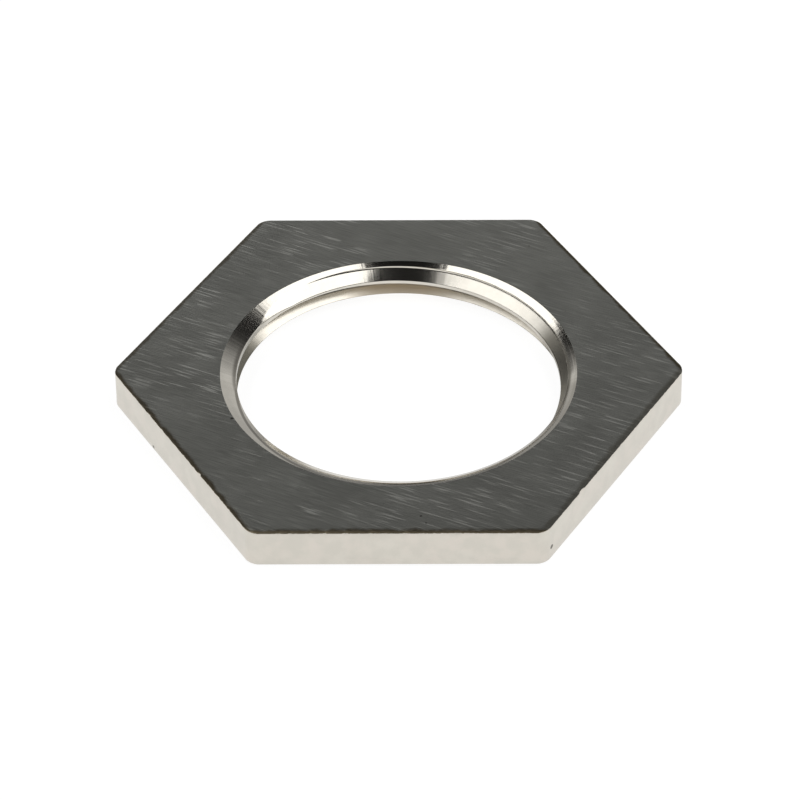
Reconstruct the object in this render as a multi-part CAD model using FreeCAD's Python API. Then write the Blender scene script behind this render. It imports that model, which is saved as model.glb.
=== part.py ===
"""Hexagonal cable gland locknut: a thin brass nut with rounded corners and a countersunk bore.

Millimetres. The origin is at the middle of the seating face, +Z runs up the bore,
X runs corner to corner and Y runs flat to flat.
"""

import FreeCAD, Part

import math
import os

NODE = "locknut"

# Thread M25 x 1.5, bored here to its minor diameter as tapped
THREAD_DIAMETER = 25.0
THREAD_PITCH = 1.5
MINOR_ALLOWANCE = 0.2
THREAD_DEPTH_SHARE = 5 / 8

# Countersinks at the two mouths of the bore
MOUTH_CLEARANCE = 0.46
TOP_COUNTERSINK_ANGLE = 130.0
SEAT_COUNTERSINK_ANGLE = 110.0

# Hexagon round the thread: the rim is what is left from the thread out to each flat
RIM_WIDTH = 5.5
THICKNESS = 3.0
SIDES = 6
CORNER_RADIUS = 1.1
EDGE_BREAK = 0.12

# How far the turning tool stands clear of the faces that it leaves
TOOL_OVERRUN = 1.0


def across_flats():
    """Spanner size of the hexagon."""
    return THREAD_DIAMETER + 2 * RIM_WIDTH


def bore_radius():
    """Minor radius of the thread, as tapped."""
    sharp_height = THREAD_PITCH * math.sqrt(3) / 2
    minor_diameter = THREAD_DIAMETER - 2 * THREAD_DEPTH_SHARE * sharp_height + MINOR_ALLOWANCE
    return minor_diameter / 2


def mouth_radius():
    """Radius of each countersink where it meets its face."""
    return THREAD_DIAMETER / 2 + MOUTH_CLEARANCE


def countersink_depth(included_angle):
    """Depth of a countersink of this angle, from its face down to the bore."""
    return (mouth_radius() - bore_radius()) / math.tan(math.radians(included_angle / 2))


def hexagon_outline():
    """Closed hexagon in the seating plane, with a corner on +X."""
    corner_distance = across_flats() / 2 / math.cos(math.pi / SIDES)
    corners = []
    for index in range(SIDES + 1):
        angle = 2 * math.pi * index / SIDES
        corners.append(
            FreeCAD.Vector(corner_distance * math.cos(angle), corner_distance * math.sin(angle), 0)
        )
    return Part.Wire(Part.makePolygon(corners))


def blank():
    """Hexagonal plate with its upright corners rounded and its outer edges broken."""
    plate = Part.Face(hexagon_outline()).extrude(FreeCAD.Vector(0, 0, THICKNESS))
    upright = [edge for edge in plate.Edges if edge.BoundBox.ZLength > THICKNESS / 2]
    plate = plate.makeFillet(CORNER_RADIUS, upright)
    rims = [edge for edge in plate.Edges if edge.BoundBox.ZLength < THICKNESS / 2]
    return plate.makeChamfer(EDGE_BREAK, rims)


def bore_cutter():
    """Turned tool for the bore: a countersink, the minor diameter and a countersink."""
    bore = bore_radius()
    mouth = mouth_radius()
    seat_depth = countersink_depth(SEAT_COUNTERSINK_ANGLE)
    top_depth = countersink_depth(TOP_COUNTERSINK_ANGLE)
    section = [
        (0, -TOOL_OVERRUN),
        (mouth, -TOOL_OVERRUN),
        (mouth, 0),
        (bore, seat_depth),
        (bore, THICKNESS - top_depth),
        (mouth, THICKNESS),
        (mouth, THICKNESS + TOOL_OVERRUN),
        (0, THICKNESS + TOOL_OVERRUN),
        (0, -TOOL_OVERRUN),
    ]
    outline = Part.makePolygon([FreeCAD.Vector(radius, 0, height) for radius, height in section])
    axis_point = FreeCAD.Vector(0, 0, 0)
    axis = FreeCAD.Vector(0, 0, 1)
    return Part.Face(Part.Wire(outline)).revolve(axis_point, axis, 360)


def locknut():
    """The finished nut."""
    return blank().cut(bore_cutter())


def main():
    os.makedirs("parts", exist_ok=True)
    nut = locknut()
    nut.exportStep(f"parts/{NODE}.step")
    print(NODE, "solids", len(nut.Solids), "valid", nut.isValid(), "volume", round(nut.Volume, 1))
    print("across flats", round(across_flats(), 4), "bore radius", round(bore_radius(), 6))
    print("mouth radius", round(mouth_radius(), 4))
    print("seat countersink", round(countersink_depth(SEAT_COUNTERSINK_ANGLE), 6))
    print("top countersink", round(countersink_depth(TOP_COUNTERSINK_ANGLE), 6))


main()
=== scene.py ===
"""Cable gland locknut: a thin nickel-plated hexagon nut with a countersunk, threaded bore."""

import math
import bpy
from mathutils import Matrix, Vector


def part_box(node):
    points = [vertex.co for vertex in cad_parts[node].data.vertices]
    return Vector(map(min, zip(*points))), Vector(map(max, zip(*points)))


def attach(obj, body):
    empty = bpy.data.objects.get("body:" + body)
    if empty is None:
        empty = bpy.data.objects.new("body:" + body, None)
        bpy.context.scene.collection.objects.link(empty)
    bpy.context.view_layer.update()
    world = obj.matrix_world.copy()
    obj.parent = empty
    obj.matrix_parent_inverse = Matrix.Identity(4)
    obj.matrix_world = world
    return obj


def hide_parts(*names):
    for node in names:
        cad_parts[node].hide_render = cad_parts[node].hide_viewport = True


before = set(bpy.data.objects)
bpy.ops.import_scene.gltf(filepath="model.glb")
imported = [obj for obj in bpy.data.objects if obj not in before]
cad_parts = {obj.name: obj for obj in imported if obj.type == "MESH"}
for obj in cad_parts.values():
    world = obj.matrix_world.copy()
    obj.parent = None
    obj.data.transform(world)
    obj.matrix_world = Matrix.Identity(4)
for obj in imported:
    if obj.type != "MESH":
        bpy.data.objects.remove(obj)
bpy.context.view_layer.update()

from types import SimpleNamespace

import bmesh
import bpy
from mathutils import Matrix, Vector, noise

bl_info = {
    "name": "Cable gland locknut",
    "version": (1, 0, 0),
    "blender": (4, 5, 0),
    "location": "3D View > Sidebar > Locknut",
    "description": "Builds a threaded hexagon locknut and the studio that it is shown in",
    "category": "Add Mesh",
}

NODE = "locknut"
MM = 0.001
NODE_LOW, NODE_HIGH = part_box(NODE)
SIDES = 6
FULL_TURN = 2 * math.pi
QUARTER_TURN = math.pi / 2
SIXTH_TURN = math.pi / 3
TWELFTH_TURN = math.pi / 6

# The nut's finishes, in the order of its materials
BRUSHED, FLATS, BORE = range(3)

# How finely the nut is divided, and how close two points are to be merged
BORE_STEPS = 360
BORE_ROWS = 150
CORNER_STEPS = 14
FLAT_CUTS = 215
SEAT_EDGE_STEPS = 6
FLAT_ROWS = 8
ROLL_ROWS = 7
ROLL_SPACING = 1.2
DIP_POWER = 4
MERGE_DISTANCE = 0.0003 * MM

# In place of an inset, this puts a row of the outer band on the mouth of the bore
AT_MOUTH = None

# Rows of the outer band on each face, in from the flats, and the small break of its top edge
STRIP_REACH = 0.95 * MM
STRIP_MIDDLE = 0.6 * MM
TOP_BREAK = 0.02 * MM
TOP_BREAK_SLOPE = 0.7

# Waves of the flats: how many to the mm, how far in they reach in mm, and where their noise starts
FLAT_WAVES = ((0.22, 0.006, (3.1, 0, 0)), (1.1, 0.004, (0, 7.3, 0)))

# Wear of the top rim: how far down and in it reaches, its depth, and its extra depth at a roll-over
WEAR_DOWN = 0.35 * MM
WEAR_IN = 0.5 * MM
WEAR_DEPTH = 0.01 * MM
ROLLED_WEAR_DEPTH = 0.06 * MM

# Ragged line of that wear: how many teeth to the mm, their share, and the level where their noise is read
WEAR_TEETH = ((2.3, 1.0, 0), (5.0, 0.5, 5), (6.0, 0.7, 9))
WEAR_BASE = 0.1

# Nicks in the top rim, in mm: x, y, half length and depth
RIM_NICKS = ((-15.2, -9.5, 0.12, 0.05), (-14.0, -11.5, 0.2, 0.1), (12.95, -13.5, 0.28, 0.09))

# Run-out of the first groove: azimuth in degrees, its rise and the extra height of its lower flank in mm
RUNOUT = ((95, 0.0, 0.0), (122, 0.055, 0.185), (133, 0.06, 0.22), (150, 0.2, 0.04))

# Rounding of the thread's roots and crests, and of the lips of the countersinks
ROOT_ROUNDING = 0.1 * MM
CREST_ROUNDING = 0.03 * MM
LIP_ROUNDING = 0.02 * MM

# Right of the top countersink: where it is steepest, and the depth at which it starts to steepen
CURL_AZIMUTH = math.radians(-15)
CURL_START = 0.1 * MM

# Front of the top countersink: flatter than the cone, bent to be steeper, and fading towards the sides
FRONT_FLATTER = 0.6
FRONT_STEEPER = 0.825
FRONT_BEND = 0.15 * MM
FRONT_BEND_DEPTH = 0.1 * MM
FRONT_END = 0.55 * MM
FRONT_FADE = 0.7

# A range in the finishes or the room is from, to, and the value at each of the two, 0 and 1 if left out

# Scratches of the brushed faces: their length, width and depth, and the stronger ones among them
SCRATCH_SIZE = (2 * MM, 0.07 * MM, 1.0)
GRAIN_DETAIL = 1.0
GRAIN_ROUGHNESS = 0.6
LINE_STRETCH = (0.8, 0.5, 1.0)
LINE_RANGE = (0.6, 0.72)
CLUSTER_SCALE = 180.0
CLUSTER_RANGE = (0.32, 0.62)

# Brushed faces: direction of the brushing, its strength from left to right, and the tones of its parts
BRUSHING_ANGLE = math.radians(-25.7)
BRUSHING_SIDES = (-12 * MM, 4 * MM, 1.0, 0.75)
FACE_CLOUD_SCALE = 260.0
FACE_CLOUD_RANGE = (0.3, 0.7)
FACE_CLOUD_TONE = 0.87
STREAK_TONES = (-0.22, 0.22, 0.76, 1.0)
# Share by which the stronger scratches are lightened towards a painted glint
SCRATCH_BRIGHTNESS = 0.5
SCRATCH_ROUGHNESS = 0.07
SCRATCH_HEIGHT = 0.4
FACE_ROUGHNESS = 0.28
FACE_BUMP = 0.004 * MM

# Dark brown along the top rim: where each flat faces in degrees, its width in mm and its strength
RIM_BROWN_BANDS = (
    (30, 0.4, 1.0), (90, 0.15, 0.1), (150, 0.45, 0.75), (210, 0.5, 0.95), (270, 0.6, 1.0), (330, 0.65, 0.45),
)
RIM_RAG_SCALE = 900.0
RIM_BROWN_EDGE = (0.85, 1.45)

# Small dark marks and where they lie, in mm: x, y, z and reach, and their strength
FACE_MARKS = (
    (-11.94, -5.42, 3.0, 0.13, 0.8), (1.64, -16.19, 3.0, 0.1, 0.7), (1.99, -16.94, 3.0, 0.09, 0.7),
    (9.72, 14.72, 3.0, 0.1, 0.3),
)
FLAT_MARKS = ((10.8, -17.3, 1.1, 0.2, 0.9), (-17.67, -5.39, 0.35, 0.14, 0.8))
MARK_RAG_SCALE = 9000.0
MARK_RAG = 0.16 * MM
MARK_EDGE = (0.03 * MM, 0.09 * MM)

# Satin flats
FLAT_CLOUD_SCALE = 900.0
FLAT_CLOUD_RANGE = (0.35, 0.65)
FLAT_CLOUD_TONE = 0.94
BLUSH_SCALE = 330.0
BLUSH_RANGE = (0.4, 0.62)
FLAT_ROUGHNESS = 0.3
FLAT_BUMP = 0.01 * MM

# Turned bore: soft mottling and the marks of the tool
BORE_CLOUD_SCALE = 1500.0
BORE_CLOUD_RANGE = (0.35, 0.65)
BORE_CLOUD_TONE = 0.95
CLOUD_HEIGHT = 0.4
CHATTER_SCALE = 34.0
BORE_BUMP = 0.004 * MM

# Directions in the bore run from -1 at the left or front to 1 at the right or back

# Painted shade low in the grooves, as a warm tone: by radius, height and distance to the side
GROOVE_SHADE_RADIUS = (11.83 * MM, 11.95 * MM)
GROOVE_SHADE_HEIGHT = (1.7 * MM, 1.9 * MM, 1.0, 0.0)
GROOVE_SHADE_ASIDE = (0.1, 0.42, 1.0, 0.15)

# Where the thread starts under the top cone, and the painted shade on its crests at the far left and right
THREAD_DEPTH = (0.02 * MM, 0.06 * MM)
CREST_SHADE_LEFT = (-0.93, -0.79, 1.0, 0.0)
CREST_SHADE_RIGHT = (0.84, 0.93, 0.0, 0.8)

# Painted shade along the inner edge of the top countersink at its sides: by radius, and from front to back
INNER_EDGE_IN = (11.82 * MM, 11.85 * MM)
INNER_EDGE_OUT = (11.96 * MM, 12.2 * MM, 1.0, 0.0)
INNER_EDGE_BACK = (0.1, 0.4, 0.61, 0.0)
INNER_EDGE_FRONT = (-0.3, -0.1)
UPPER_BORE = (2.3 * MM, 2.4 * MM)

# Painted shade in a band round the front of the top countersink: its middle and half width as shares of the
# cone
BAND_MIDDLE_POWER = 1.4
BAND_MIDDLE_FRONT = 1.05
BAND_MIDDLE_RIGHT = (0.3, 0.7, 0.0, 0.44)
BAND_WIDTH_POWER = 12.0
BAND_WIDTH_FRONT = 0.45
BAND_HALF_WIDTH = 0.12
BAND_EDGE = (0.5, 1.4, 1.0, 0.0)
BAND_GROUND = (-0.4, 0.6, 0.35, 0.7)
BAND_START = (0.02, 0.15)
BAND_STRENGTH = (0.8, 1.0, 0.76, 0.4)
BAND_DEPTH = (0.15 * MM, 0.2 * MM, 1.0, 0.0)

# Roughness of the bore: on the thread by side, all over by distance to the side, and where the grooves'
# shade is painted
TORN_THREAD = (0.1, 0.4, 0.05, 0.18)
SIDE_ROUGHNESS = (0.25, 0.6, 0.085, 0.13)
GROOVE_SHADE_ROUGHNESS = 0.4

# Camera at the photograph's viewing angle, its place taken from the middle of the top face
VIEW_ELEVATION = 0.6884
VIEW_TURN = -0.0093
VIEW_ROLL = 0.0088
VIEW_DISTANCE = 353.318 * MM
VIEW_RIGHT = 0.108 * MM
VIEW_UP = -2.156 * MM
LENS = 218.98
SENSOR = 36.0
CLIP_START = 0.01

# Lamps: height, radiance, and the watts per square metre that give a rectangle a radiance of one
LAMP_HEIGHT = 1.5
LAMP_RADIANCE = 1.45
LAMP_WATTS = 4

# Each lamp: its front corner across and along, its turn in degrees, and its two sides, in heights
LAMPS = (
    ("soft_box_right", 0.348, -0.848, 12.7, 1.8, 1.26),
    ("soft_box_left", -0.44, -0.841, -14.5, -1.22, 1.47),
)

# Floor: half its side, its grey under the lamps, and how bright it is seen
FLOOR_REACH = 3.0
FLOOR_GREY = 0.2
FLOOR_GLOW = 0.89

# Room: a pale wall up to a tilted edge, dark at the far left, dimmer in the middle and at its foot
WALL_TILT = 0.08
WALL_TOP = (0.42, 0.613, 1.0, 0.0)
WALL_LEFT = (-0.66, -0.52, 0.05, 1.0)
WALL_MIDDLE = (0.25, 0.45, 0.72, 1.0)
WALL_FOOT = (0.0, 0.15, 0.55, 1.0)
ROOM_FRONT = (-0.6, -0.1, 0.12, 0.6)
ROOM_BACK = (0.72, 0.88, 0.0, 0.55)
ROOM_GROUND = 0.01

# Sockets of a Mix node that is set to colours
MIX_SHARE, MIX_FIRST, MIX_SECOND, MIX_RESULT = 0, 6, 7, 2


class LocknutSizes(bpy.types.PropertyGroup):
    """Sizes of the nut, in metres."""

    across_flats: bpy.props.FloatProperty(
        name="Across flats", description="Spanner size of the hexagon",
        default=NODE_HIGH.y - NODE_LOW.y, unit="LENGTH",
    )
    thickness: bpy.props.FloatProperty(
        name="Thickness", description="Height of the nut", default=NODE_HIGH.z - NODE_LOW.z, unit="LENGTH",
    )
    corner_radius: bpy.props.FloatProperty(
        name="Corner radius", description="Rounding of the six upright corners",
        default=1.1 * MM, unit="LENGTH",
    )
    seat_edge: bpy.props.FloatProperty(
        name="Seat edge radius", description="Rounding of the lower outer edge",
        default=0.2 * MM, unit="LENGTH",
    )
    roll_width: bpy.props.FloatProperty(
        name="Roll-over width", description="How far in the top face dips to its rim",
        default=0.5 * MM, unit="LENGTH",
    )
    roll_drop: bpy.props.FloatProperty(
        name="Roll-over drop", description="How far the top face dips at its rim",
        default=0.055 * MM, unit="LENGTH",
    )
    roll_share: bpy.props.FloatVectorProperty(
        name="Roll-over share",
        description="Share of the drop at each flat, from the one that faces 30 degrees",
        default=(0.0, 0.0, 0.05, 0.5, 1.0, 0.4), size=SIDES,
    )
    pitch: bpy.props.FloatProperty(
        name="Pitch", description="Rise of the thread in one turn", default=1.5 * MM, unit="LENGTH",
    )
    crest_radius: bpy.props.FloatProperty(
        name="Crest radius", description="Minor radius of the thread", default=11.788 * MM, unit="LENGTH",
    )
    root_radius: bpy.props.FloatProperty(
        name="Root radius", description="Radius at the bottom of the groove",
        default=12.57 * MM, unit="LENGTH",
    )
    root_width: bpy.props.FloatProperty(
        name="Root width", description="Height of the flat at the bottom of the groove",
        default=0.19 * MM, unit="LENGTH",
    )
    first_groove: bpy.props.FloatProperty(
        name="First groove", description="Depth of the groove's middle at the back, below the top face",
        default=0.27 * MM, unit="LENGTH",
    )
    lower_flank: bpy.props.FloatProperty(
        name="Lower flank", description="Slope from level of the flank that faces up",
        default=math.radians(37), subtype="ANGLE",
    )
    upper_flank: bpy.props.FloatProperty(
        name="Upper flank", description="Slope from level of the flank that faces down",
        default=math.radians(30), subtype="ANGLE",
    )
    lip_curl: bpy.props.FloatProperty(
        name="Lip curl", description="How much steeper the top countersink is near the groove on the right",
        default=0.7,
    )
    mouth_radius: bpy.props.FloatProperty(
        name="Mouth radius", description="Radius of each countersink at its face",
        default=12.96 * MM, unit="LENGTH",
    )
    top_countersink: bpy.props.FloatProperty(
        name="Top countersink", description="Included angle at the top",
        default=math.radians(130), subtype="ANGLE",
    )
    seat_countersink: bpy.props.FloatProperty(
        name="Seat countersink", description="Included angle at the seat",
        default=math.radians(110), subtype="ANGLE",
    )


class LocknutFinish(bpy.types.PropertyGroup):
    """Colours of the plating, of its dirt, and of the painted shade and glints."""

    plate: bpy.props.FloatVectorProperty(
        name="Nickel", description="Colour of the plating", default=(0.66, 0.63, 0.565), subtype="COLOR",
    )
    brushed: bpy.props.FloatVectorProperty(
        name="Brushed nickel", description="Colour of the two faces",
        default=(0.665, 0.668, 0.615), subtype="COLOR",
    )
    # Painted glint: the stronger scratches are lightened as if they caught the light
    scratch_glint: bpy.props.FloatVectorProperty(
        name="Scratch glint", description="Painted glint in the stronger scratches",
        default=(0.86, 0.86, 0.8), subtype="COLOR",
    )
    blush: bpy.props.FloatVectorProperty(
        name="Blush", description="Pinkish patches on the flats",
        default=(0.667, 0.624, 0.562), subtype="COLOR",
    )
    # Painted shade: a warm tone low in the thread, for the shade that its grooves mirror
    groove_shade: bpy.props.FloatVectorProperty(
        name="Painted groove shade", description="Painted warm shade low in the thread",
        default=(0.73, 0.655, 0.54), subtype="COLOR",
    )
    rim_brown: bpy.props.FloatVectorProperty(
        name="Rim darkening", description="Dark brown along the top rim", default=(0.19, 0.16, 0.108), subtype="COLOR",
    )
    # Painted shade on the thread's crests at the far left and right
    shade: bpy.props.FloatVectorProperty(
        name="Painted crest shade", description="Painted shade on the thread's crests at the far left and right",
        default=(0.24, 0.225, 0.185), subtype="COLOR",
    )
    # Real dirt in the small marks, and painted shade in the countersink's dark bands
    dirt_and_shade: bpy.props.FloatVectorProperty(
        name="Dirt and painted shade", description="Colour of the small dark marks, and the painted shade of the dark bands in the countersink",
        default=(0.07, 0.06, 0.045), subtype="COLOR",
    )


def blend_up(first, second, reach):
    """The larger of two values, with the step between them rounded over a reach."""
    share = max(0.0, min(1.0, 0.5 + 0.5 * (first - second) / reach))
    return second + (first - second) * share + reach * share * (1 - share)


def outward(point, sizes):
    """Direction out of the rounded hexagon at a point of its outline."""
    centre_distance = (sizes.across_flats / 2 - sizes.corner_radius) / math.cos(TWELFTH_TURN)
    angle = math.atan2(point.y, point.x)
    corner = round(angle / SIXTH_TURN) * SIXTH_TURN
    centre = Vector((math.cos(corner), math.sin(corner), 0)) * centre_distance
    radial = (Vector((point.x, point.y, 0)) - centre).normalized()
    if math.acos(max(-1.0, min(1.0, radial.dot(centre.normalized())))) < TWELFTH_TURN:
        return radial
    flat = (math.floor(angle / SIXTH_TURN) + 0.5) * SIXTH_TURN
    return Vector((math.cos(flat), math.sin(flat), 0))


def roll_at(direction, sizes):
    """Share of the roll-over in a direction, blended from flat to flat round each corner."""
    place = (math.atan2(direction.y, direction.x) - TWELFTH_TURN) / SIXTH_TURN % SIDES
    flat = int(place)
    share = place - flat
    return sizes.roll_share[flat % SIDES] * (1 - share) + sizes.roll_share[(flat + 1) % SIDES] * share


def ring_edges(vertices):
    """Edges whose two ends are both among some vertices, in a fixed order."""
    chosen = set(vertices)
    edges = (edge for vertex in vertices for edge in vertex.link_edges)
    return list(dict.fromkeys(edge for edge in edges if all(end in chosen for end in edge.verts)))


def rim_section(sizes):
    """Rows of the outer band, from the lower mouth round to the upper one: inset, height, dip, finish."""
    top = sizes.thickness
    rows = [(inset, 0.0, 0.0, BRUSHED) for inset in (AT_MOUTH, STRIP_REACH, STRIP_MIDDLE)]
    for step in range(SEAT_EDGE_STEPS + 1):
        turn = QUARTER_TURN * step / SEAT_EDGE_STEPS
        inset = sizes.seat_edge * (1 - math.sin(turn))
        rows.append((inset, sizes.seat_edge * (1 - math.cos(turn)), 0.0, FLATS))
    shoulder = top - TOP_BREAK
    for step in range(1, FLAT_ROWS + 1):
        share = step / FLAT_ROWS
        height = sizes.seat_edge + (shoulder - sizes.seat_edge) * share
        rows.append((0.0, height, sizes.roll_drop * share ** DIP_POWER, FLATS))
    rise = TOP_BREAK_SLOPE * TOP_BREAK
    rows.append((TOP_BREAK - rise, shoulder + rise, sizes.roll_drop, FLATS))
    for step in range(ROLL_ROWS + 1):
        share = (step / ROLL_ROWS) ** ROLL_SPACING
        rows.append((TOP_BREAK + sizes.roll_width * share, top, sizes.roll_drop * (1 - share) ** 2, BRUSHED))
    rows.append((STRIP_REACH, top, 0.0, BRUSHED))
    rows.append((AT_MOUTH, top, 0.0, BRUSHED))
    return rows


def outline(mesh, sizes):
    """Rounded hexagon in the seat plane, split finely along its flats."""
    corner_distance = sizes.across_flats / 2 / math.cos(TWELFTH_TURN)
    made = bmesh.ops.create_circle(mesh, cap_ends=True, segments=SIDES, radius=corner_distance)
    turn = Matrix.Rotation(TWELFTH_TURN, 3, "Z")
    bmesh.ops.rotate(mesh, verts=made["verts"], cent=(0, 0, 0), matrix=turn)
    bmesh.ops.bevel(
        mesh, geom=made["verts"], offset=sizes.corner_radius * math.tan(TWELFTH_TURN), offset_type="OFFSET",
        segments=CORNER_STEPS, profile=0.5, affect="VERTICES", material=-1,
    )
    bmesh.ops.delete(mesh, geom=list(mesh.faces), context="FACES_ONLY")
    flats = [edge for edge in mesh.edges if edge.calc_length() > sizes.corner_radius]
    bmesh.ops.subdivide_edges(mesh, edges=flats, cuts=FLAT_CUTS)
    return list(mesh.verts)


def nick_depth(point):
    """Depth of the rim's nicks at a point of the outline."""
    depth = 0.0
    for x, y, half_length, deepest in RIM_NICKS:
        gap = math.hypot(point.x / MM - x, point.y / MM - y) / half_length
        depth += deepest * MM * math.exp(-gap ** 4)
    return depth


def flat_wave(point, height):
    """How far in the flats wave at a point of the outline and a height."""
    place = Vector((point.x, point.y, height)) / MM
    depth = 0.0
    for scale, reach, start in FLAT_WAVES:
        depth += reach * MM * (0.5 + 0.5 * noise.noise(place * scale + Vector(start)))
    return depth


def wear_line(point):
    """How ragged the top rim is worn at a point of the outline, 0 where it is whole."""
    worn = WEAR_BASE
    for scale, share, level in WEAR_TEETH:
        worn += share * noise.noise(Vector((point.x, point.y, level)) / MM * scale)
    return max(0.0, worn)


def rim_wobble(point, height, inset, sizes):
    """How far the outer band stands in from its true place: a wavy flat, and a nicked top rim."""
    rim = max(0.0, 1 - abs(height - sizes.thickness) / WEAR_DOWN)
    rim *= max(0.0, 1 - inset / WEAR_IN)
    deepest = WEAR_DEPTH + ROLLED_WEAR_DEPTH * roll_at(outward(point, sizes), sizes)
    return flat_wave(point, height) + rim * (wear_line(point) * deepest + nick_depth(point))


def mouth_point(place, height, sizes):
    """The point of the bore's mouth that lies nearest in angle to a place on the outline."""
    step = FULL_TURN / BORE_STEPS
    angle = round(math.atan2(place.y, place.x) / step) * step
    radius = bore_radius(height, angle, sizes)
    return Vector((radius * math.cos(angle), radius * math.sin(angle), height))


def next_ring(mesh, ring, finish):
    """A fresh ring of vertices, extruded from the last one in its order, with a finish on the new faces."""
    made = bmesh.ops.extrude_edge_only(mesh, edges=ring_edges(ring))["geom"]
    fresh = {item for item in made if isinstance(item, bmesh.types.BMVert)}
    for item in made:
        if isinstance(item, bmesh.types.BMFace):
            item.material_index = finish
    links = {}
    for vertex in ring:
        for edge in vertex.link_edges:
            if edge.other_vert(vertex) in fresh:
                links[vertex] = edge.other_vert(vertex)
    return [links[vertex] for vertex in ring]


def outer_band(sizes):
    """The flats with their rounded edges, and the first strip of each face, in a mesh of their own."""
    mesh = bmesh.new()
    ring = outline(mesh, sizes)
    stations = [(vertex.co.copy(), outward(vertex.co, sizes)) for vertex in ring]
    for number, (inset, height, dip, finish) in enumerate(rim_section(sizes)):
        if number:
            ring = next_ring(mesh, ring, finish)
        for vertex, (place, direction) in zip(ring, stations):
            if inset is AT_MOUTH:
                vertex.co = mouth_point(place, height, sizes)
                continue
            vertex.co = place - direction * (inset + rim_wobble(place, height, inset, sizes))
            vertex.co.z = height - dip * roll_at(direction, sizes)
    return mesh


def groove_radius(above, extra, sizes):
    """Radius of one groove at a height above its middle: a narrow root between two flanks."""
    reach = sizes.root_radius - sizes.crest_radius
    slope = math.tan(sizes.upper_flank) if above > 0 else math.tan(sizes.lower_flank) + extra / reach
    flank = sizes.root_radius - (abs(above) - sizes.root_width / 2) / slope
    return -blend_up(-flank, -sizes.root_radius, ROOT_ROUNDING)


def runout_at(azimuth):
    """Rise of the first groove and extra height of its lower flank at an azimuth."""
    degrees = math.degrees(azimuth)
    if degrees <= RUNOUT[0][0]:
        return 0.0, 0.0
    for (start, rise, extra), (end, next_rise, next_extra) in zip(RUNOUT, RUNOUT[1:]):
        if degrees <= end:
            share = (degrees - start) / (end - start)
            return (rise + (next_rise - rise) * share) * MM, (extra + (next_extra - extra) * share) * MM
    return RUNOUT[-1][1] * MM, RUNOUT[-1][2] * MM


def thread_radius(height, angle, sizes):
    """Radius of the threaded wall at a height and an angle, before the countersinks."""
    azimuth = (angle + QUARTER_TURN) % FULL_TURN - QUARTER_TURN
    first = sizes.thickness - sizes.first_groove - sizes.pitch * (QUARTER_TURN - azimuth) / FULL_TURN
    rise, extra = runout_at(azimuth)
    radius = blend_up(groove_radius(height - first - rise, extra, sizes), sizes.crest_radius, CREST_ROUNDING)
    for number in (1, 2):
        above = height - first + number * sizes.pitch
        radius = blend_up(groove_radius(above, 0.0, sizes), radius, CREST_ROUNDING)
    return radius


def right_curl(depth, angle, sizes):
    """How far the right of the top countersink stands out from the cone, as it is steeper there."""
    return sizes.lip_curl * max(0.0, depth - CURL_START) * max(0.0, math.cos(angle - CURL_AZIMUTH)) ** 2


def front_inset(depth, angle):
    """How far the front of the top countersink stands in from the cone: flatter at first, then steeper."""
    if depth >= FRONT_END:
        return 0.0
    bend = max(0.0, min(FRONT_BEND_DEPTH, depth - FRONT_BEND))
    beyond = max(0.0, depth - FRONT_BEND - FRONT_BEND_DEPTH)
    inset = FRONT_FLATTER * depth - FRONT_STEEPER * (bend ** 2 / (3 * FRONT_BEND_DEPTH) + beyond)
    return max(0.0, -math.sin(angle)) ** FRONT_FADE * inset


def bore_radius(height, angle, sizes):
    """Radius of the bore's wall, with its thread and both countersinks."""
    depth = sizes.thickness - height
    top = sizes.mouth_radius - depth * math.tan(sizes.top_countersink / 2)
    top += right_curl(depth, angle, sizes) - front_inset(depth, angle)
    seat = sizes.mouth_radius - height * math.tan(sizes.seat_countersink / 2)
    wall = blend_up(thread_radius(height, angle, sizes), top, LIP_ROUNDING)
    return blend_up(wall, seat, LIP_ROUNDING)


def bore_wall(sizes):
    """The bore in a mesh of its own: an upright line spun round the axis, then shaped."""
    mesh = bmesh.new()
    low = mesh.verts.new((sizes.crest_radius, 0, 0))
    high = mesh.verts.new((sizes.crest_radius, 0, sizes.thickness))
    line = mesh.edges.new((low, high))
    bmesh.ops.subdivide_edges(mesh, edges=[line], cuts=BORE_ROWS - 1)
    bmesh.ops.spin(
        mesh, geom=list(mesh.verts) + list(mesh.edges), cent=(0, 0, 0), axis=(0, 0, 1), dvec=(0, 0, 0),
        angle=FULL_TURN, steps=BORE_STEPS, use_merge=True, use_normal_flip=False, use_duplicate=False,
    )
    for face in mesh.faces:
        face.material_index = BORE
    for vertex in mesh.verts:
        angle = math.atan2(vertex.co.y, vertex.co.x)
        height = vertex.co.z
        radius = bore_radius(height, angle, sizes)
        vertex.co = Vector((radius * math.cos(angle), radius * math.sin(angle), height))
    return mesh


def join(parts):
    """Several meshes as one."""
    whole = bmesh.new()
    for part in parts:
        data = bpy.data.meshes.new("part")
        part.to_mesh(data)
        part.free()
        whole.from_mesh(data)
        bpy.data.meshes.remove(data)
    return whole


def nut_mesh(sizes):
    """The whole nut as one closed mesh."""
    mesh = join([bore_wall(sizes), outer_band(sizes)])
    bmesh.ops.remove_doubles(mesh, verts=list(mesh.verts), dist=MERGE_DISTANCE)
    bmesh.ops.recalc_face_normals(mesh, faces=list(mesh.faces))
    for face in mesh.faces:
        face.smooth = True
    for edge in mesh.edges:
        if len({face.material_index for face in edge.link_faces}) > 1:
            edge.smooth = False
    data = bpy.data.meshes.new(NODE + "_dressed")
    mesh.to_mesh(data)
    mesh.free()
    return data


def link(tree, start, end):
    """Joins two sockets."""
    tree.links.new(end, start)


def feed(tree, value, end):
    """Gives a socket what another one puts out, or a plain value."""
    if isinstance(value, bpy.types.NodeSocket):
        link(tree, value, end)
    else:
        end.default_value = value


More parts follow.
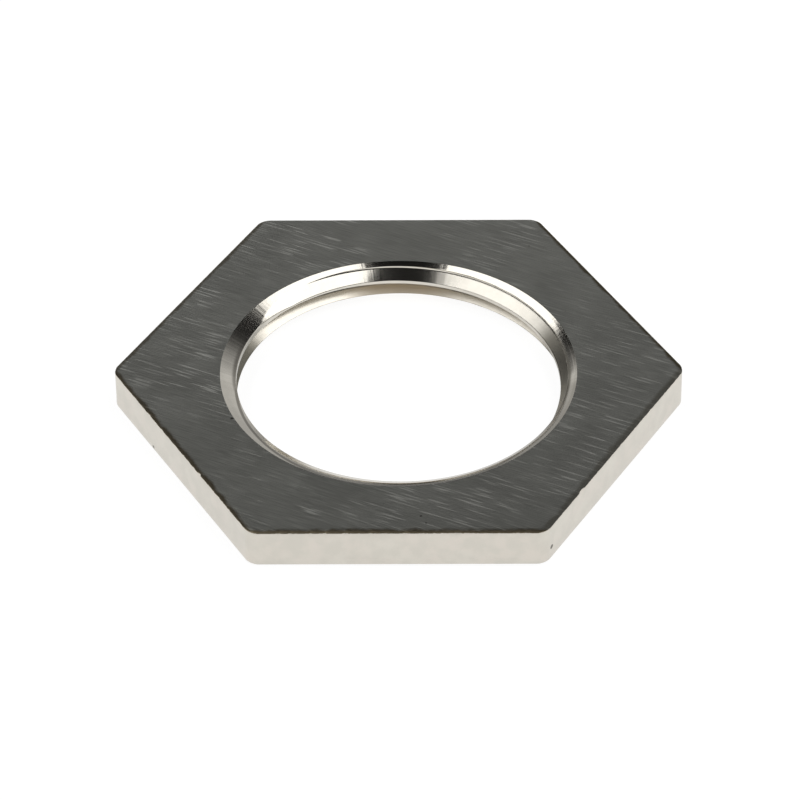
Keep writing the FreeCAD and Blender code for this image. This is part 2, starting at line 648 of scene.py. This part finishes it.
def new_group(name, inputs, outputs):
    """An empty shader node group with named sockets, and its two end nodes."""
    tree = bpy.data.node_groups.new(name, "ShaderNodeTree")
    for label, kind, default in inputs:
        socket = tree.interface.new_socket(label, in_out="INPUT", socket_type=kind)
        if default is not None:
            socket.default_value = default
    for label, kind in outputs:
        tree.interface.new_socket(label, in_out="OUTPUT", socket_type=kind)
    return tree, tree.nodes.new("NodeGroupInput"), tree.nodes.new("NodeGroupOutput")


def math_node(tree, operation, first, second=0.0, clamp=False):
    """A Math node fed by sockets or numbers. Returns its output."""
    node = tree.nodes.new("ShaderNodeMath")
    node.operation = operation
    node.use_clamp = clamp
    feed(tree, first, node.inputs[0])
    feed(tree, second, node.inputs[1])
    return node.outputs[0]


def product(tree, first, *others):
    """Sockets and numbers multiplied together. Returns the last node's output."""
    total = first
    for other in others:
        total = math_node(tree, "MULTIPLY", total, other)
    return total


def vector_math(tree, operation, first, second=None):
    """A Vector Math node fed by a socket and, if given, three numbers."""
    node = tree.nodes.new("ShaderNodeVectorMath")
    node.operation = operation
    link(tree, first, node.inputs[0])
    if second is not None:
        node.inputs[1].default_value = second
    return node


def separate(tree, vector):
    """The X, Y and Z of a vector."""
    node = tree.nodes.new("ShaderNodeSeparateXYZ")
    link(tree, vector, node.inputs[0])
    return node.outputs["X"], node.outputs["Y"], node.outputs["Z"]


def noise_node(tree, vector, scale, detail=2.0, roughness=0.5):
    """A Noise Texture read at a vector. Returns its value, from 0 to 1."""
    node = tree.nodes.new("ShaderNodeTexNoise")
    node.inputs["Detail"].default_value = detail
    node.inputs["Roughness"].default_value = roughness
    feed(tree, scale, node.inputs["Scale"])
    link(tree, vector, node.inputs["Vector"])
    return node.outputs[0]


def ranged(tree, value, low, high, to_low=0.0, to_high=1.0):
    """A Map Range node. Returns its output."""
    node = tree.nodes.new("ShaderNodeMapRange")
    node.interpolation_type = "SMOOTHSTEP"
    for label, number in zip(("From Min", "From Max", "To Min", "To Max"), (low, high, to_low, to_high)):
        node.inputs[label].default_value = number
    link(tree, value, node.inputs["Value"])
    return node.outputs["Result"]


def mix_colour(tree, share, first, second, way="MIX"):
    """A Mix Color node fed by sockets or colours. Returns its output."""
    node = tree.nodes.new("ShaderNodeMix")
    node.data_type = "RGBA"
    node.blend_type = way
    feed(tree, share, node.inputs[MIX_SHARE])
    for slot, value in ((MIX_FIRST, first), (MIX_SECOND, second)):
        feed(tree, value if isinstance(value, bpy.types.NodeSocket) else (*value, 1.0), node.inputs[slot])
    return node.outputs[MIX_RESULT]


def toned(colour, share):
    """A colour at a share of its brightness."""
    return [part * share for part in colour]


def scratches_group():
    """Fine parallel scratches, and a few stronger ones in clusters."""
    tree, start, end = new_group(
        "Brushed scratches",
        [("Vector", "NodeSocketVector", None), ("Angle", "NodeSocketVector", (0, 0, 0)),
         ("Length", "NodeSocketVector", SCRATCH_SIZE)],
        [("Grain", "NodeSocketFloat"), ("Scratches", "NodeSocketFloat")],
    )
    turned = tree.nodes.new("ShaderNodeMapping")
    turned.vector_type = "TEXTURE"
    link(tree, start.outputs["Vector"], turned.inputs["Vector"])
    link(tree, start.outputs["Angle"], turned.inputs["Rotation"])
    link(tree, start.outputs["Length"], turned.inputs["Scale"])
    grain = noise_node(tree, turned.outputs[0], 1.0, GRAIN_DETAIL, GRAIN_ROUGHNESS)
    stretched = vector_math(tree, "MULTIPLY", turned.outputs[0], LINE_STRETCH).outputs[0]
    lines = ranged(tree, noise_node(tree, stretched, 1.0, detail=0.0), *LINE_RANGE)
    patches = noise_node(tree, start.outputs["Vector"], CLUSTER_SCALE, detail=3.0)
    clusters = ranged(tree, patches, *CLUSTER_RANGE)
    link(tree, grain, end.inputs["Grain"])
    link(tree, product(tree, lines, clusters), end.inputs["Scratches"])
    return tree


def clouds_group():
    """Soft mottling at a given scale."""
    tree, start, end = new_group(
        "Cloudy mottling",
        [("Vector", "NodeSocketVector", None), ("Size", "NodeSocketFloat", 400.0)],
        [("Value", "NodeSocketFloat")],
    )
    clouds = noise_node(tree, start.outputs["Vector"], start.outputs["Size"], detail=4.0)
    link(tree, clouds, end.inputs["Value"])
    return tree


def rim_group():
    """Dark brown along the hexagon's rim, with its own width and strength at each flat."""
    tree, start, end = new_group(
        "Rim darkening",
        [("Vector", "NodeSocketVector", None), ("Half width", "NodeSocketFloat", 0.018)],
        [("Value", "NodeSocketFloat")],
    )
    ragged = noise_node(tree, start.outputs["Vector"], RIM_RAG_SCALE, detail=3.0)
    total = 0.0
    for facing, width, strength in RIM_BROWN_BANDS:
        angle = math.radians(facing)
        out = (math.cos(angle), math.sin(angle), 0)
        distance = vector_math(tree, "DOT_PRODUCT", start.outputs["Vector"], out).outputs["Value"]
        gap = math_node(tree, "SUBTRACT", start.outputs["Half width"], distance)
        share = math_node(tree, "ADD", math_node(tree, "DIVIDE", gap, width * MM), ragged)
        total = math_node(tree, "MAXIMUM", ranged(tree, share, *RIM_BROWN_EDGE, strength, 0.0), total)
    link(tree, total, end.inputs["Value"])
    return tree


def spots_group(name, places):
    """Small ragged marks at given places: their strength in each mark, 0 away from them."""
    inputs = [("Vector", "NodeSocketVector", None)]
    tree, start, end = new_group(name, inputs, [("Value", "NodeSocketFloat")])
    ragged = product(tree, noise_node(tree, start.outputs["Vector"], MARK_RAG_SCALE), MARK_RAG)
    total = 0.0
    for x, y, z, reach, strength in places:
        middle = (x * MM, y * MM, z * MM)
        distance = vector_math(tree, "DISTANCE", start.outputs["Vector"], middle).outputs["Value"]
        away = math_node(tree, "ADD", distance, ragged)
        edge = [reach * MM + step for step in MARK_EDGE]
        total = math_node(tree, "MAXIMUM", ranged(tree, away, *edge, strength, 0.0), total)
    link(tree, total, end.inputs["Value"])
    return tree


def placed(tree, group, vector, **values):
    """Places a node group in a material, with its own values."""
    node = tree.nodes.new("ShaderNodeGroup")
    node.node_tree = group
    link(tree, vector, node.inputs["Vector"])
    for label, value in values.items():
        node.inputs[label.replace("_", " ").capitalize()].default_value = value
    return node


def new_material(name):
    """A metal with its shader, and the Object coordinates that its pattern reads."""
    material = bpy.data.materials.new(name)
    material.use_nodes = True
    tree = material.node_tree
    shader = tree.nodes["Principled BSDF"]
    shader.inputs["Metallic"].default_value = 1.0
    places = tree.nodes.new("ShaderNodeTexCoord")
    return material, tree, shader, places.outputs["Object"]


def bump(tree, shader, height, distance):
    """Feeds a height through a Bump node to the shader's normal."""
    node = tree.nodes.new("ShaderNodeBump")
    node.inputs["Distance"].default_value = distance
    node.inputs["Strength"].default_value = 1.0
    link(tree, height, node.inputs["Height"])
    link(tree, node.outputs[0], shader.inputs["Normal"])


def brushed_material(groups, finish, sizes):
    """The two faces: dull nickel, brushed one way, browned at the rim, with real scratches lightened towards
    a painted glint.
    """
    material, tree, shader, places = new_material("nickel_brushed_face")
    scratches = placed(tree, groups["scratches"], places, angle=(0, 0, BRUSHING_ANGLE))
    clouds = placed(tree, groups["clouds"], places, size=FACE_CLOUD_SCALE)
    across, _, _ = separate(tree, places)
    side = ranged(tree, across, *BRUSHING_SIDES)
    cloudy = ranged(tree, clouds.outputs[0], *FACE_CLOUD_RANGE)
    plate = mix_colour(tree, cloudy, toned(finish.brushed, FACE_CLOUD_TONE), finish.brushed)
    grain = product(tree, math_node(tree, "SUBTRACT", scratches.outputs["Grain"], 0.5), side)
    plate = mix_colour(tree, 1.0, plate, ranged(tree, grain, *STREAK_TONES), "MULTIPLY")
    strong = product(tree, scratches.outputs["Scratches"], side)
    # Real scratches, lightened towards a painted glint
    plate = mix_colour(tree, product(tree, strong, SCRATCH_BRIGHTNESS), plate, finish.scratch_glint)
    # Dark brown along the top rim
    worn = placed(tree, groups["rim"], places, half_width=sizes.across_flats / 2)
    plate = mix_colour(tree, worn.outputs[0], plate, finish.rim_brown)
    marks = placed(tree, groups["face marks"], places)
    link(tree, mix_colour(tree, marks.outputs[0], plate, finish.dirt_and_shade), shader.inputs["Base Color"])
    rough = math_node(tree, "ADD", product(tree, strong, SCRATCH_ROUGHNESS), FACE_ROUGHNESS)
    link(tree, rough, shader.inputs["Roughness"])
    height = math_node(tree, "ADD", grain, product(tree, strong, SCRATCH_HEIGHT))
    bump(tree, shader, height, FACE_BUMP)
    return material


def flats_material(groups, finish):
    """The six flats: satin nickel with faint cream, pink and grey patches."""
    material, tree, shader, places = new_material("nickel_satin_flats")
    clouds = placed(tree, groups["clouds"], places, size=FLAT_CLOUD_SCALE)
    patches = placed(tree, groups["clouds"], places, size=BLUSH_SCALE)
    tint = mix_colour(tree, ranged(tree, patches.outputs[0], *BLUSH_RANGE), finish.plate, finish.blush)
    cloudy = ranged(tree, clouds.outputs[0], *FLAT_CLOUD_RANGE)
    plate = mix_colour(tree, cloudy, toned(finish.plate, FLAT_CLOUD_TONE), tint)
    marks = placed(tree, groups["flat marks"], places)
    link(tree, mix_colour(tree, marks.outputs[0], plate, finish.dirt_and_shade), shader.inputs["Base Color"])
    shader.inputs["Roughness"].default_value = FLAT_ROUGHNESS
    bump(tree, shader, clouds.outputs[0], FLAT_BUMP)
    return material


def bore_places(tree, places, sizes):
    """Where a point of the bore lies: its direction, radius, height, and depth under the top cone."""
    level = vector_math(tree, "MULTIPLY", places, (1, 1, 0)).outputs["Vector"]
    direction = vector_math(tree, "NORMALIZE", level).outputs["Vector"]
    radius = vector_math(tree, "LENGTH", level).outputs["Value"]
    across, along, _ = separate(tree, direction)
    _, _, height = separate(tree, places)
    inward = math_node(tree, "SUBTRACT", sizes.mouth_radius, radius)
    cone_depth = product(tree, inward, 1 / math.tan(sizes.top_countersink / 2))
    depth = math_node(tree, "SUBTRACT", sizes.thickness, height)
    return SimpleNamespace(
        direction=direction, across=across, along=along, radius=radius, height=height,
        aside=math_node(tree, "ABSOLUTE", across),
        ahead=math_node(tree, "MULTIPLY", along, -1.0, clamp=True),
        below_cone=math_node(tree, "SUBTRACT", depth, cone_depth),
    )


def groove_shade_mask(tree, at):
    """Painted shade low in the grooves, as a warm tone, most of it at the front and the back."""
    deep = ranged(tree, at.radius, *GROOVE_SHADE_RADIUS)
    low = ranged(tree, at.height, *GROOVE_SHADE_HEIGHT)
    return product(tree, deep, low, ranged(tree, at.aside, *GROOVE_SHADE_ASIDE))


def crest_shade_mask(tree, at, thread):
    """Painted shade on the thread's crests at the far left and right."""
    left = ranged(tree, at.across, *CREST_SHADE_LEFT)
    right = ranged(tree, at.across, *CREST_SHADE_RIGHT)
    return product(tree, thread, math_node(tree, "ADD", left, right))


def inner_edge_shade_mask(tree, at):
    """Painted shade along the inner edge of the top countersink at its two sides."""
    ring = product(tree, ranged(tree, at.radius, *INNER_EDGE_OUT), ranged(tree, at.radius, *INNER_EDGE_IN))
    back = ranged(tree, at.along, *INNER_EDGE_BACK)
    front = ranged(tree, at.along, *INNER_EDGE_FRONT)
    return product(tree, ring, ranged(tree, at.height, *UPPER_BORE), back, front)


def front_shade_band_mask(tree, at, sizes):
    """Painted shade in a band that climbs the top countersink towards the front."""
    middle = product(tree, math_node(tree, "POWER", at.ahead, BAND_MIDDLE_POWER), BAND_MIDDLE_FRONT)
    middle = math_node(tree, "MAXIMUM", middle, ranged(tree, at.across, *BAND_MIDDLE_RIGHT))
    half = product(tree, math_node(tree, "POWER", at.ahead, BAND_WIDTH_POWER), BAND_WIDTH_FRONT)
    half = math_node(tree, "ADD", half, BAND_HALF_WIDTH)
    from_crest = math_node(tree, "SUBTRACT", at.radius, sizes.crest_radius)
    share = math_node(tree, "DIVIDE", from_crest, sizes.mouth_radius - sizes.crest_radius)
    gap = math_node(tree, "ABSOLUTE", math_node(tree, "SUBTRACT", share, middle))
    band = ranged(tree, math_node(tree, "DIVIDE", gap, half), *BAND_EDGE)
    return product(
        tree,
        math_node(tree, "MAXIMUM", band, ranged(tree, at.across, *BAND_GROUND)),
        ranged(tree, at.ahead, *BAND_START),
        ranged(tree, at.ahead, *BAND_STRENGTH),
        ranged(tree, at.height, *UPPER_BORE),
        ranged(tree, at.below_cone, *BAND_DEPTH),
    )


def bore_material(groups, finish, sizes):
    """The bore: bright turned nickel with fine marks of the tool, and painted shade in its grooves, on its
    side crests and in its top countersink.
    """
    material, tree, shader, places = new_material("nickel_turned_bore")
    at = bore_places(tree, places, sizes)
    clouds = placed(tree, groups["clouds"], places, size=BORE_CLOUD_SCALE)
    cloudy = ranged(tree, clouds.outputs[0], *BORE_CLOUD_RANGE)
    plate = mix_colour(tree, cloudy, toned(finish.plate, BORE_CLOUD_TONE), finish.plate)
    # Painted shade low in the grooves, as a warm tone
    groove_shaded = groove_shade_mask(tree, at)
    plate = mix_colour(tree, groove_shaded, plate, finish.groove_shade)
    thread = ranged(tree, at.below_cone, *THREAD_DEPTH)
    # Painted shade on the thread's crests at the far left and right
    plate = mix_colour(tree, crest_shade_mask(tree, at, thread), plate, finish.shade)
    # Painted shade along the countersink's inner edge and in its front band
    dark = math_node(tree, "MAXIMUM", inner_edge_shade_mask(tree, at), front_shade_band_mask(tree, at, sizes))
    link(tree, mix_colour(tree, dark, plate, finish.dirt_and_shade), shader.inputs["Base Color"])
    torn = product(tree, thread, ranged(tree, at.across, *TORN_THREAD))
    rough = math_node(tree, "ADD", torn, ranged(tree, at.aside, *SIDE_ROUGHNESS))
    rough = math_node(tree, "ADD", rough, product(tree, groove_shaded, GROOVE_SHADE_ROUGHNESS))
    link(tree, rough, shader.inputs["Roughness"])
    chatter = noise_node(tree, at.direction, CHATTER_SCALE)
    height = math_node(tree, "ADD", product(tree, clouds.outputs[0], CLOUD_HEIGHT), chatter)
    bump(tree, shader, height, BORE_BUMP)
    return material


class LOCKNUT_OT_nut(bpy.types.Operator):
    """Build the threaded hexagon nut with its plated finishes"""

    bl_idname = "locknut.nut"
    bl_label = "Build the nut"

    def execute(self, context):
        sizes = context.scene.locknut_sizes
        finish = context.scene.locknut_finish
        nut = bpy.data.objects.new("threaded_nut", nut_mesh(sizes))
        context.scene.collection.objects.link(nut)
        groups = {
            "scratches": scratches_group(),
            "clouds": clouds_group(),
            "rim": rim_group(),
            "face marks": spots_group("Face marks", FACE_MARKS),
            "flat marks": spots_group("Flat marks", FLAT_MARKS),
        }
        nut.data.materials.append(brushed_material(groups, finish, sizes))
        nut.data.materials.append(flats_material(groups, finish))
        nut.data.materials.append(bore_material(groups, finish, sizes))
        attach(nut, "root")
        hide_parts(NODE)
        return {"FINISHED"}


def soft_box(name, corner, turn, size_x, size_y, radiance):
    """A lamp facing down: its front corner nearest the middle, its turn, its sides and its radiance."""
    lamp = bpy.data.lights.new(name, "AREA")
    lamp.shape = "RECTANGLE"
    lamp.size = abs(size_x)
    lamp.size_y = size_y
    lamp.energy = radiance * LAMP_WATTS * lamp.size * lamp.size_y
    box = bpy.data.objects.new(name, lamp)
    box.rotation_euler = (0, 0, turn)
    box.location = Vector(corner) + Matrix.Rotation(turn, 3, "Z") @ Vector((size_x / 2, size_y / 2, 0))
    box.visible_camera = False
    bpy.context.scene.collection.objects.link(box)


def studio_lamps():
    """Two soft boxes over the front left and the front right of the nut."""
    for name, across, along, turn, size_x, size_y in LAMPS:
        corner = (across * LAMP_HEIGHT, along * LAMP_HEIGHT, LAMP_HEIGHT)
        soft_box(name, corner, math.radians(turn), size_x * LAMP_HEIGHT, size_y * LAMP_HEIGHT, LAMP_RADIANCE)


def floor_material():
    """Grey under the lamps, so that the nut's shadow stays, with a glow that makes it read white."""
    material = bpy.data.materials.new("pale_floor")
    material.use_nodes = True
    tree = material.node_tree
    tree.nodes.clear()
    out = tree.nodes.new("ShaderNodeOutputMaterial")
    diffuse = tree.nodes.new("ShaderNodeBsdfDiffuse")
    diffuse.inputs["Color"].default_value = (FLOOR_GREY, FLOOR_GREY, FLOOR_GREY, 1)
    glow = tree.nodes.new("ShaderNodeEmission")
    rays = tree.nodes.new("ShaderNodeLightPath")
    seen = math_node(tree, "MAXIMUM", rays.outputs["Is Camera Ray"], rays.outputs["Is Glossy Ray"])
    seen = math_node(tree, "MAXIMUM", seen, rays.outputs["Is Transmission Ray"])
    link(tree, product(tree, seen, FLOOR_GLOW), glow.inputs["Strength"])
    both = tree.nodes.new("ShaderNodeAddShader")
    link(tree, diffuse.outputs[0], both.inputs[0])
    link(tree, glow.outputs[0], both.inputs[1])
    link(tree, both.outputs[0], out.inputs["Surface"])
    return material


def studio_floor():
    """A pale floor that reads white and keeps the nut's shadow."""
    mesh = bmesh.new()
    bmesh.ops.create_grid(mesh, x_segments=1, y_segments=1, size=FLOOR_REACH)
    data = bpy.data.meshes.new("studio_floor")
    mesh.to_mesh(data)
    mesh.free()
    floor = bpy.data.objects.new("studio_floor", data)
    bpy.context.scene.collection.objects.link(floor)
    floor.data.materials.append(floor_material())


def studio_world(scene):
    """A dim room: light grey near the ground behind, dark higher up and in front."""
    world = bpy.data.worlds.new("studio_room")
    world.use_nodes = True
    scene.world = world
    tree = world.node_tree
    tree.nodes.clear()
    out = tree.nodes.new("ShaderNodeOutputWorld")
    background = tree.nodes.new("ShaderNodeBackground")
    places = tree.nodes.new("ShaderNodeTexCoord")
    across, along, up = separate(tree, places.outputs["Generated"])
    tilted = math_node(tree, "SUBTRACT", up, product(tree, across, WALL_TILT))
    wall = product(
        tree,
        ranged(tree, tilted, *WALL_TOP),
        ranged(tree, across, *WALL_LEFT),
        ranged(tree, math_node(tree, "ABSOLUTE", across), *WALL_MIDDLE),
        ranged(tree, up, *WALL_FOOT),
    )
    strength = math_node(tree, "ADD", ranged(tree, along, *ROOM_FRONT), ranged(tree, along, *ROOM_BACK))
    glow = math_node(tree, "ADD", product(tree, wall, strength), ROOM_GROUND)
    link(tree, glow, background.inputs["Strength"])
    link(tree, background.outputs[0], out.inputs["Surface"])


def studio_camera(scene):
    """A long lens at the photograph's viewing angle."""
    turn = Matrix.Rotation(-VIEW_TURN, 3, "Z")
    ahead = turn @ Vector((0, math.cos(VIEW_ELEVATION), -math.sin(VIEW_ELEVATION)))
    level = turn @ Vector((1, 0, 0))
    rise = turn @ Vector((0, math.sin(VIEW_ELEVATION), math.cos(VIEW_ELEVATION)))
    right = math.cos(VIEW_ROLL) * level - math.sin(VIEW_ROLL) * rise
    up = math.sin(VIEW_ROLL) * level + math.cos(VIEW_ROLL) * rise
    place = VIEW_RIGHT * right + VIEW_UP * up - VIEW_DISTANCE * ahead + Vector((0, 0, NODE_HIGH.z))
    data = bpy.data.cameras.new("studio_camera")
    data.lens = LENS
    data.sensor_width = SENSOR
    data.clip_start = CLIP_START
    camera = bpy.data.objects.new("studio_camera", data)
    camera.matrix_world = Matrix.Translation(place) @ Matrix((right, up, -ahead)).transposed().to_4x4()
    scene.collection.objects.link(camera)
    scene.camera = camera


class LOCKNUT_OT_studio(bpy.types.Operator):
    """Set up the pale floor, the soft lamps, the dim room and the camera"""

    bl_idname = "locknut.studio"
    bl_label = "Set up the studio"

    def execute(self, context):
        scene = context.scene
        scene.view_settings.view_transform = "Standard"
        studio_floor()
        studio_world(scene)
        studio_lamps()
        studio_camera(scene)
        return {"FINISHED"}


class LOCKNUT_PT_panel(bpy.types.Panel):
    """Lists the locknut's steps and sizes"""

    bl_label = "Locknut"
    bl_idname = "LOCKNUT_PT_panel"
    bl_space_type = "VIEW_3D"
    bl_region_type = "UI"
    bl_category = "Locknut"

    def draw(self, context):
        self.layout.operator("locknut.nut")
        self.layout.operator("locknut.studio")
        for group in (context.scene.locknut_sizes, context.scene.locknut_finish):
            for name in group.__annotations__:
                self.layout.prop(group, name)


CLASSES = (LocknutSizes, LocknutFinish, LOCKNUT_OT_nut, LOCKNUT_OT_studio, LOCKNUT_PT_panel)


def register():
    """Adds the classes and the locknut's settings."""
    for item in CLASSES:
        bpy.utils.register_class(item)
    bpy.types.Scene.locknut_sizes = bpy.props.PointerProperty(type=LocknutSizes)
    bpy.types.Scene.locknut_finish = bpy.props.PointerProperty(type=LocknutFinish)


def unregister():
    """Takes the settings and the classes away again."""
    del bpy.types.Scene.locknut_finish
    del bpy.types.Scene.locknut_sizes
    for item in reversed(CLASSES):
        bpy.utils.unregister_class(item)


def main():
    register()
    bpy.ops.locknut.nut()
    bpy.ops.locknut.studio()


if __name__ == "__main__":
    main()
